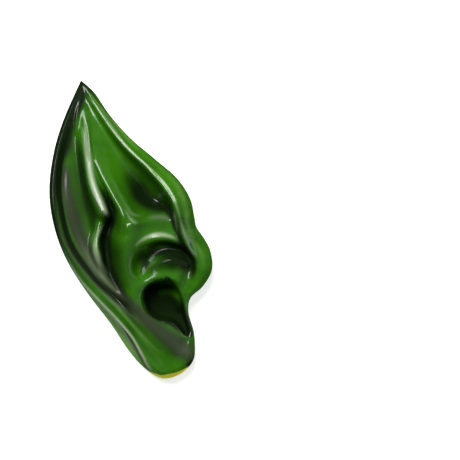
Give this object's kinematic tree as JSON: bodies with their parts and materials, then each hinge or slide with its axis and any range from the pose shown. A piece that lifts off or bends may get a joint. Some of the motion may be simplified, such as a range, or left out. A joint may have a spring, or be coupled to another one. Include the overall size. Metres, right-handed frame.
{
  "type": "elf ear tip",
  "caption": "Pointed elf ear in painted latex that slips over a real ear: rolled rims, folds and a bowl in front, an open mouth behind.",
  "frame": {"origin": "middle of the box's underside, on the surface that the ear lies on", "axes": "+Z out of the side that shows when worn, +Y along the length towards the pointed tip, +X towards the front edge that meets the face"},
  "size_m": [0.057, 0.1048, 0.0236],
  "materials": {
    "latex_skin": "glossy painted latex, leaf green airbrushed with black, bare cream latex inside"
  },
  "bodies": {
    "root": {"ear_shell": "latex_skin"}
  },
  "joints": []
}
